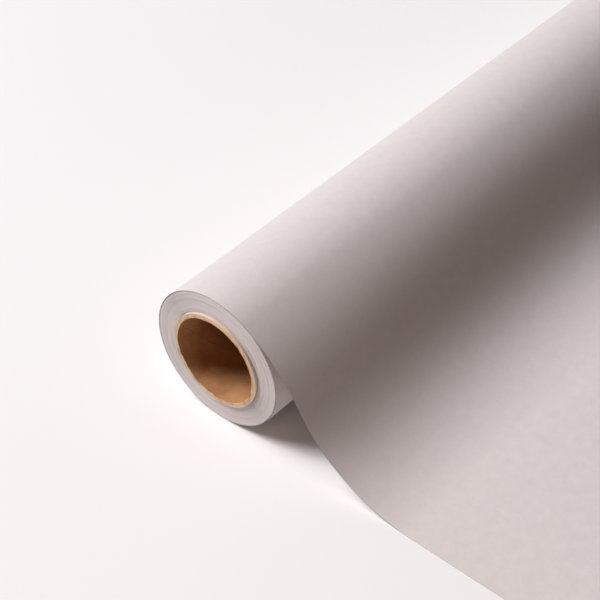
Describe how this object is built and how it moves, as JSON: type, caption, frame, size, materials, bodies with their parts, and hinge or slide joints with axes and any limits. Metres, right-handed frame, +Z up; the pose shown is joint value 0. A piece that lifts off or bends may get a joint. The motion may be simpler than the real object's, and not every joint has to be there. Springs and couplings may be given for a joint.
{
  "type": "backdrop paper roll",
  "caption": "Roll of seamless backdrop paper on a paperboard core, lying on a surface, its outer sheet sweeping down over the front and out flat.",
  "frame": {"origin": "on the axis of the core, at the middle of its length", "axes": "+X along the core, away from the end shown first; -Y is the front, where the sheet comes down; +Z up"},
  "size_m": [1.353, 0.6166, 0.0805],
  "materials": {
    "backdrop_paper": "matte",
    "wound_paper": "matte",
    "tape": "matte",
    "core_cover": "matte",
    "core_board": "matte",
    "core_liner": "matte"
  },
  "bodies": {
    "laid_sheet": {"sweep_sheet": "backdrop_paper", "floor_stretch": "backdrop_paper"},
    "roll": {"core_inner_liner": "core_liner", "core_ply_1": "core_board", "core_ply_2": "core_board", "core_ply_3": "core_board", "core_ply_4": "core_board", "core_ply_5": "core_board", "core_outer_ply": "core_cover", "start_tape_near": "tape", "start_tape_middle": "tape", "start_tape_far": "tape", "wound_paper": "wound_paper"},
    "front_edge": {"leading_edge": "backdrop_paper"}
  },
  "joints": [
    {"name": "roll_spin", "type": "hinge", "parent": "laid_sheet", "child": "roll", "pos_m": [0, 0, 0], "axis": [1, 0, 0], "range_deg": [-180, 720]},
    {"name": "sheet_pull", "type": "slide", "parent": "laid_sheet", "child": "front_edge", "axis": [0, -1, 0], "range_m": [-0.128, 0.51], "deforming": ["floor_stretch"]}
  ],
  "couplings": [
    {"joint": "sheet_pull", "follows": "roll_spin", "m_per_rad": 0.0403}
  ]
}
